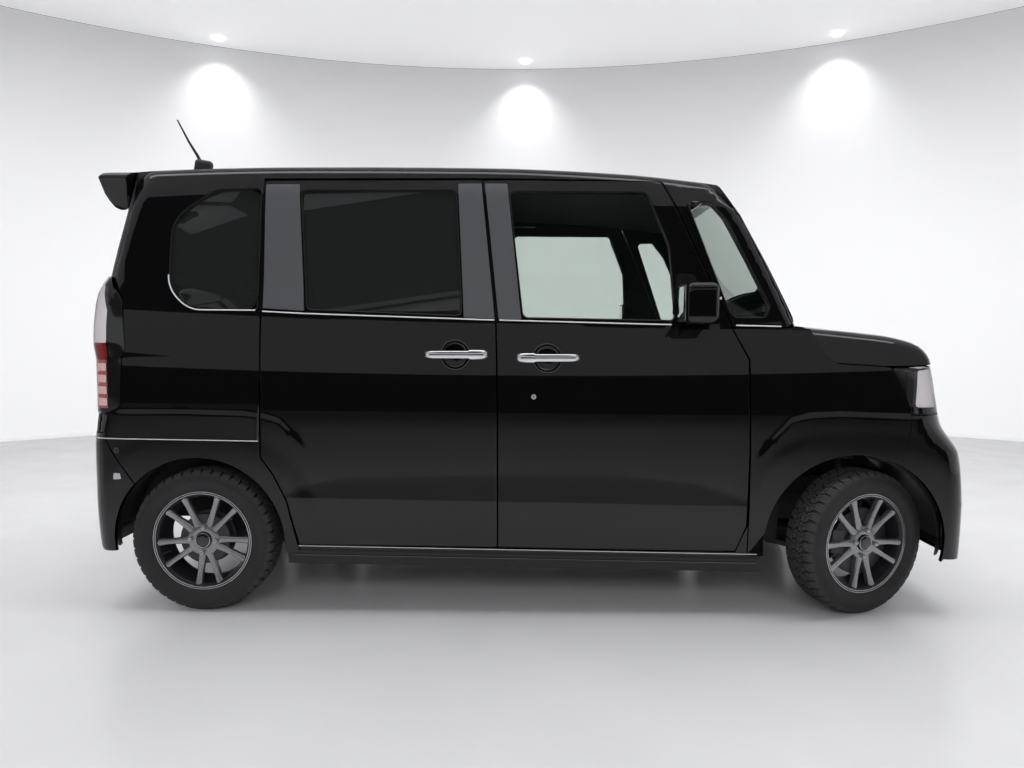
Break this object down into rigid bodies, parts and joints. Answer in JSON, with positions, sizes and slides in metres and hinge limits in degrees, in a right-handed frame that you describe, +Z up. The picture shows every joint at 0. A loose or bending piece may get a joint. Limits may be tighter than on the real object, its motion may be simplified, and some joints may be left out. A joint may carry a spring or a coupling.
{
  "type": "kei car",
  "caption": "Tall box-shaped kei car in gloss black with sliding rear doors, steered front wheels, opening front doors, bonnet, tailgate and fuel lid.",
  "frame": {"origin": "on the ground under the middle of the car's length, on its centre plane", "axes": "+X towards the nose, +Y to the car's left, +Z up"},
  "size_m": [3.3938, 1.774, 1.9274],
  "materials": {
    "body_paint": "gloss black",
    "tyre": "matt",
    "wheel_metal": "gunmetal, satin",
    "cast_metal": "rough cast",
    "clear_glass": "clear, faint green",
    "privacy_glass": "dark tint",
    "lamp_clear": "clear",
    "lamp_red": "red and clear",
    "under_metal": "matt",
    "exhaust_steel": "dull",
    "seat_cloth": "woven",
    "cabin_plastic": "grained",
    "black_plastic": "moulded"
  },
  "bodies": {
    "root": {"body_side_right": "body_paint", "body_side_left": "body_paint", "door_slide_right": "body_paint", "door_slide_left": "body_paint", "glass_side": "privacy_glass", "roof": "body_paint", "windshield": "clear_glass", "cowl": "black_plastic", "fender_right": "body_paint", "fender_left": "body_paint", "headlamps": "lamp_clear", "grille": "black_plastic", "front_bumper": "body_paint", "rear_bumper": "body_paint", "tail_lamps": "lamp_red", "side_skirts": "body_paint", "floor_pan": "under_metal", "front_frame": "under_metal", "load_floor": "under_metal", "arch_liners": "black_plastic", "front_suspension": "cast_metal", "rear_axle": "cast_metal", "powertrain": "cast_metal", "fuel_tank": "under_metal", "exhaust": "exhaust_steel", "seats_front": "seat_cloth", "seats_rear": "seat_cloth", "dashboard": "cabin_plastic"},
    "door_right": {"door_front_right": "body_paint", "glass_front_right": "clear_glass", "mirror_right": "body_paint"},
    "door_left": {"door_front_left": "body_paint", "glass_front_left": "clear_glass", "mirror_left": "body_paint"},
    "tailgate": {"tailgate": "body_paint", "glass_tailgate": "privacy_glass", "spoiler": "body_paint"},
    "bonnet": {"bonnet": "body_paint"},
    "fuel_lid": {"fuel_lid": "body_paint"},
    "steering_wheel": {"steering_wheel": "cabin_plastic"},
    "knuckle_right": {"knuckle_right": "cast_metal"},
    "knuckle_left": {"knuckle_left": "cast_metal"},
    "wheel_front_right": {"tyre_front_right": "tyre", "rim_front_right": "wheel_metal"},
    "wheel_front_left": {"tyre_front_left": "tyre", "rim_front_left": "wheel_metal"},
    "wheel_rear_right": {"tyre_rear_right": "tyre", "rim_rear_right": "wheel_metal"},
    "wheel_rear_left": {"tyre_rear_left": "tyre", "rim_rear_left": "wheel_metal"}
  },
  "joints": [
    {"name": "steer_right", "type": "hinge", "parent": "root", "child": "knuckle_right", "pos_m": [1.262, -0.5995, 0.2801], "axis": [0, 0.2419, 0.9703], "range_deg": [-54.6, 13.4]},
    {"name": "spin_front_right", "type": "hinge", "parent": "knuckle_right", "child": "wheel_front_right", "pos_m": [1.28009, -0.64931, 0.2793], "axis": [-0.3414, 0.9398, 0.015], "continuous": true},
    {"name": "steer_left", "type": "hinge", "parent": "root", "child": "knuckle_left", "pos_m": [1.262, 0.5995, 0.2801], "axis": [0, -0.2419, 0.9703], "range_deg": [-54.6, 13.4]},
    {"name": "spin_front_left", "type": "hinge", "parent": "knuckle_left", "child": "wheel_front_left", "pos_m": [1.24391, 0.64931, 0.2793], "axis": [-0.3414, 0.9398, -0.015], "continuous": true},
    {"name": "spin_rear_right", "type": "hinge", "parent": "root", "child": "wheel_rear_right", "pos_m": [-1.258, -0.6525, 0.2785], "axis": [0, 1, 0], "continuous": true},
    {"name": "spin_rear_left", "type": "hinge", "parent": "root", "child": "wheel_rear_left", "pos_m": [-1.258, 0.6525, 0.2785], "axis": [0, 1, 0], "continuous": true},
    {"name": "steering_wheel_turn", "type": "hinge", "parent": "root", "child": "steering_wheel", "pos_m": [0.61, -0.35, 0.985], "axis": [-0.8829, 0, 0.4695], "range_deg": [-819, 201]},
    {"name": "door_front_right_open", "type": "hinge", "parent": "root", "child": "door_right", "pos_m": [0.805, -0.722, 0.7], "axis": [0, 0, 1], "range_deg": [0, 70]},
    {"name": "door_front_left_open", "type": "hinge", "parent": "root", "child": "door_left", "pos_m": [0.805, 0.722, 0.7], "axis": [0, 0, -1], "range_deg": [0, 70]},
    {"name": "tailgate_open", "type": "hinge", "parent": "root", "child": "tailgate", "pos_m": [-1.548, 0, 1.776], "axis": [0, 1, 0], "range_deg": [0, 85]},
    {"name": "bonnet_open", "type": "hinge", "parent": "root", "child": "bonnet", "pos_m": [1.08, 0, 1.126], "axis": [0, -1, 0], "range_deg": [0, 50]},
    {"name": "fuel_lid_open", "type": "hinge", "parent": "root", "child": "fuel_lid", "pos_m": [-1.0515, 0.735, 0.87], "axis": [0, 0, -1], "range_deg": [0, 95]}
  ],
  "couplings": [
    {"joint": "steer_left", "follows": "steer_right", "ratio": 1},
    {"joint": "steering_wheel_turn", "follows": "steer_right", "ratio": 15}
  ]
}
